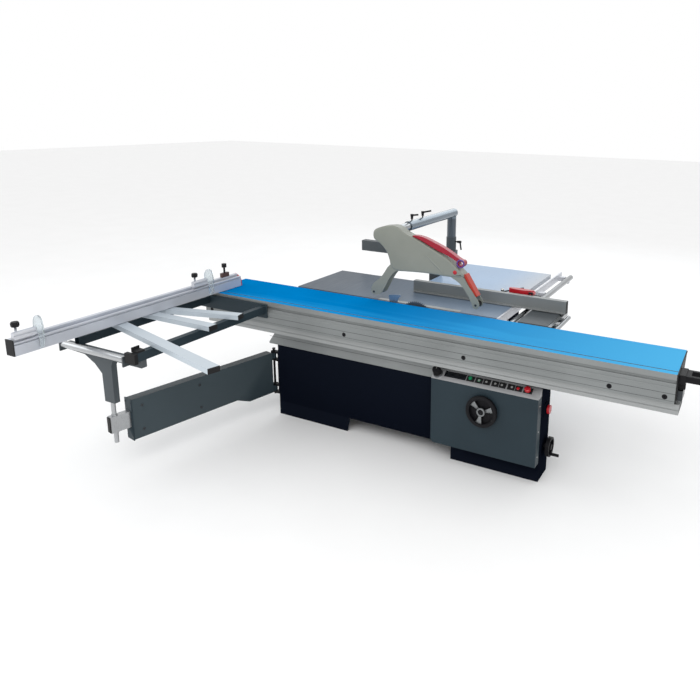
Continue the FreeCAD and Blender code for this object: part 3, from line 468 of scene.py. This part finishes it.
# console screws on the right edge, arm screws and a tube plug
bm = bmesh.new()
for x, y, z in ((880.0, 60, 500), (880.0, 60, 180), (880.0, 60, 340)):
    screw(bm, P(x - 1.2, y, z), X, 0.0048, 0.0026)
piece("console_edge_screws", bm, "zinc", "machine")
bm = bmesh.new()
for s in (602, 988):
    for z in (403, 250):
        ua = math.radians(11.6)
        ux, uy, nx, ny = -math.sin(ua), -math.cos(ua), math.cos(ua), -math.sin(ua)
        x, y = -1095 + ux * s + nx * 13, 110 + uy * s + ny * 13
        screw(bm, P(x, y, z) - Vector((nx, ny, 0)) * 0.0004, Vector((nx, ny, 0)), 0.0085, 0.004)
piece("arm_screws", bm, "screw", "arm")
bm = bmesh.new()
ua = math.radians(11.6)
UU, NN = Vector((-math.sin(ua), -math.cos(ua), 0)), Vector((math.cos(ua), -math.sin(ua), 0))
for w in (-49, 9):
    for z in (222, 330, 434):
        screw(bm, P(-1095, 110, z) + UU * 1.0556 + NN * (w / 1000), UU, 0.0055, 0.003)
piece("arm_flange_screws", bm, "screw", "arm")
bm = bmesh.new()
for w0, w1, z0, z1 in ((-36.5, -3.5, 285.5, 378.5),):
    slab(bm, P(-1095, 110, 0) + UU * 1.1720, NN, Z, UU, w0 / 1000, w1 / 1000, z0 / 1000, z1 / 1000, 0.0055, 0.001)
piece("tube_plug", bm, "black", "arm_tube")

# carriage plugs: dished faces; film grooves; dark strips of painted shade for the front grooves on the extrusions
bm = bmesh.new()
for x in (-1550, -1268, -420, 420, 1268, 1550):
    lathe(bm, P(x, 1.2, 730), -Y, [(0.0136, 0), (0.0134, 0.0009), (0.0105, 0.0011), (0.0088, 0.0004), (0.0030, 0.0002)], 32)
piece("plug_faces", bm, "black", "carriage")
# painted shade: dark strips stand in for the shade inside the front grooves of the carriage
bm = bmesh.new()
for z0, z1 in ((751.5, 753.5), (712, 713.5)):
    slab(bm, P(0, -0.05, 0), X, Z, -Y, -1.5998, 1.5998, z0 / 1000, z1 / 1000, 0.0004, 0.0001)
piece("carriage_groove_shade", bm, "screw", "carriage")
bm = bmesh.new()
for y0, y1 in ((86, 88), (376, 378)):
    slab(bm, P(0, 0, 859.0), X, Y, Z, -1.5995, 1.5995, y0 / 1000, y1 / 1000, 0.0004, 0.0001)
# a wrinkled edge of film: shallow lapped strips
for y0, y1 in ((404, 410),):
    slab(bm, P(0, 0, 859.0), X, Y, Z, -1.5995, 1.5995, y0 / 1000, y1 / 1000, 0.0005, 0.0002)
piece("film_lines", bm, "film", "carriage")
# painted shade: a dark strip stands in for the shade in the groove along the beam front
bm = bmesh.new()
slab(bm, P(0, 97, 0), X, Z, -Y, -1.115, 0.436, 0.5755, 0.5775, 0.0004, 0.0001)
piece("beam_groove_shade", bm, "screw", "machine")

# guard: crowned covers, crease, dot, ring and axle heads
GF = 392.0


def outline(pts, times=2):
    """Rounds the corners of a closed outline by cutting them."""
    for _ in range(times):
        q = []
        for a, b in zip(pts, pts[1:] + pts[:1]):
            q += [a * 0.75 + b * 0.25, a * 0.25 + b * 0.75]
        pts = q
    return pts


def inset(pts, d):
    """Moves a closed outline inward by d along its averaged edge normals."""
    out = []
    n_ = len(pts)
    for i in range(n_):
        t = (pts[(i + 1) % n_] - pts[i - 1]).normalized()
        out.append(pts[i] + Vector((t.y, -t.x)) * d)
    return out


OUT = outline([Vector(q) / 1000 for q in
               ((-437, 1329), (-420, 1358), (-368, 1380), (-322, 1388), (-275, 1392), (-232, 1378), (-196, 1352), (-140, 1330),
                (-84, 1306), (-10, 1272), (108, 1218), (171, 1172), (225, 1128), (229, 1108), (137, 1098), (-7, 1102),
                (-100, 1100), (-194, 1094), (-256, 1092), (-298, 1112), (-312, 1166), (-328, 1207), (-352, 1239),
                (-392, 1272), (-430, 1292))])
for tag, y0, sg in (("front", GF, -1), ("back", 464.0, 1)):
    bm = bmesh.new()
    rings = []
    for d, h in ((0.0, -1.0), (0.0, 0.8), (0.0011, 2.2), (0.0031, 3.4), (0.0062, 4.3), (0.0105, 4.8)):
        rings.append([bm.verts.new(Vector((q.x + 0.3, (y0 + sg * h - 500) / 1000, q.y))) for q in inset(OUT, d)])
    for a, b in zip(rings, rings[1:]):
        for k in range(len(a)):
            bm.faces.new((a[k], a[(k + 1) % len(a)], b[(k + 1) % len(a)], b[k]))
    bm.faces.new(rings[0])
    bm.faces.new(list(reversed(rings[-1])))
    piece("guard_cover_" + tag, bm, "guard", "hood")
GF = 387.4
bm = bmesh.new()
pa, pb = P(-40, GF, 1225), P(96, GF, 1114)
d = (pb - pa).normalized()
side = Vector((-d.z, 0, d.x))
rows = []
for k in range(9):
    t = k / 8
    w = 0.0055 * math.sin(math.pi * min(1, max(0.06, t))) + 0.0006
    c = pa.lerp(pb, t)
    rows.append([bm.verts.new(c + side * (w * q) - Y * (0.0022 * (1 - q * q) + 0.0001)) for q in (-1, -0.5, 0, 0.5, 1)])
for ra, rb in zip(rows, rows[1:]):
    for i in range(4):
        bm.faces.new((ra[i], ra[i + 1], rb[i + 1], rb[i]))
piece("guard_crease", bm, "guard", "hood")
bm = bmesh.new()
lathe(bm, P(175, GF + 0.2, 1133), -Y, [(0.0135, 0), (0.0135, 0.0022), (0.0115, 0.0034), (0.004, 0.0036)], 36)
piece("guard_dot", bm, "red", "hood")
bm = bmesh.new()
lathe(bm, P(206, 401.5, 1190), -Y, [(0.0235 + 0.0052 * math.cos(math.pi * q / 8), 0.0052 * math.sin(math.pi * q / 8))
                                    for q in range(17)], 48, False)
piece("guard_ring", bm, "purple", "hood")
bm = bmesh.new()
for x, z in ((-436, 922), (322, 934)):
    screw(bm, P(x, 392.2, z), -Y, 0.0075, 0.0035)
piece("guard_axle_heads", bm, "screw", "hood")

# rip fence end cap and lever ball
bm = bmesh.new()
rl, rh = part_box("rip_fence")
slab(bm, Vector((rh.x - 0.0005, 0, 0)), Y, Z, X, rl.y + 0.0135, rh.y - 0.001, rl.z + 0.001, rh.z - 0.001, 0.0035, 0.0008)
piece("rip_fence_cap", bm, "black", "rip_plate")
bm = bmesh.new()
lathe(bm, P(330, 850, 926), Z, [(0.008, 0), (0.0115, 0.002), (0.0125, 0.006), (0.0105, 0.011), (0.004, 0.0138)], 32)
piece("lever_hub_cap", bm, "zinc", "rip_clamp")

# star knobs of the flip stops
for i, yc in ((1, -1362.0), (2, -150.0)):
    bm = bmesh.new()
    c = P(-1496, yc - 40, 1016)
    prof = []
    seg = 60
    rings = []
    for h, k in ((0.0, 0.78), (0.003, 0.98), (0.018, 1.0), (0.0235, 0.86), (0.0248, 0.55)):
        ring = []
        for q in range(seg):
            a = 2 * math.pi * q / seg
            r = (0.0182 + 0.0028 * math.cos(6 * a)) * k
            ring.append(bm.verts.new(c + Vector((r * math.cos(a), r * math.sin(a), h))))
        rings.append(ring)
    for a, b in zip(rings, rings[1:]):
        for q in range(seg):
            bm.faces.new((a[q], a[(q + 1) % seg], b[(q + 1) % seg], b[q]))
    bm.faces.new(list(reversed(rings[0])))
    bm.faces.new(rings[-1])
    piece("stop_star_knob_%d" % i, bm, "black", "stop_%d" % i)

# ---------------------------------------------------------------- camera
yaw, pitch, roll = math.radians(26.40), math.radians(-13.45), math.radians(0.975)
f = Vector((-math.sin(yaw) * math.cos(pitch), math.cos(yaw) * math.cos(pitch), math.sin(pitch)))
r = f.cross(Z).normalized()
u = r.cross(f)
r2 = r * math.cos(roll) + u * math.sin(roll)
u2 = -r * math.sin(roll) + u * math.cos(roll)
cam = bpy.data.cameras.new("camera")
co = bpy.data.objects.new("camera", cam)
bpy.context.scene.collection.objects.link(co)
rot = Matrix((r2, u2, -f)).transposed().to_4x4()
co.matrix_world = Matrix.Translation((2.1857, -3.8424, 2.1346)) @ rot
cam.sensor_width = 36
cam.lens = 33.965
cam.shift_x, cam.shift_y = -0.1218, -0.1157
bpy.context.scene.camera = co

# --------------------------------------------------------- floor and lights
bm = bmesh.new()
g = 40
vs = [[bm.verts.new((-30 + 60 * i / g, -30 + 60 * j / g, 0)) for j in range(g + 1)] for i in range(g + 1)]
for i in range(g):
    for j in range(g):
        bm.faces.new((vs[i][j], vs[i + 1][j], vs[i + 1][j + 1], vs[i][j + 1]))
me = bpy.data.meshes.new("floor")
bm.to_mesh(me)
bm.free()
floor = bpy.data.objects.new("floor", me)
bpy.context.scene.collection.objects.link(floor)
me.materials.append(material("pale_floor", (0.90, 0.90, 0.90), 0.9, scale=6, bump=0.0, var=0.01, rough_var=0.02))


def area(name, loc, target, size, power, colour=(1, 1, 1)):
    d = bpy.data.lights.new(name, "AREA")
    d.shape = "RECTANGLE"
    d.size, d.size_y = size
    d.energy = power
    d.color = colour
    o = bpy.data.objects.new(name, d)
    bpy.context.scene.collection.objects.link(o)
    o.location = loc
    o.rotation_euler = (Vector(target) - Vector(loc)).to_track_quat("-Z", "Y").to_euler()
    return o


area("key", (1.5, -5.0, 4.6), (0.2, 0, 0.6), (4.0, 2.5), 95)
area("fill", (-5.0, -3.0, 3.0), (0, 0, 0.7), (3.0, 2.5), 35, (0.93, 0.97, 1.0))
area("back", (0.0, 5.5, 4.0), (0.2, 0.3, 0.8), (6.0, 2.0), 55, (0.9, 0.96, 1.0))
world = bpy.data.worlds.new("studio")
bpy.context.scene.world = world
world.use_nodes = True
world.node_tree.nodes["Background"].inputs["Color"].default_value = (1.0, 1.0, 1.0, 1)
world.node_tree.nodes["Background"].inputs["Strength"].default_value = 1.0
bpy.context.scene.view_settings.view_transform = "Standard"

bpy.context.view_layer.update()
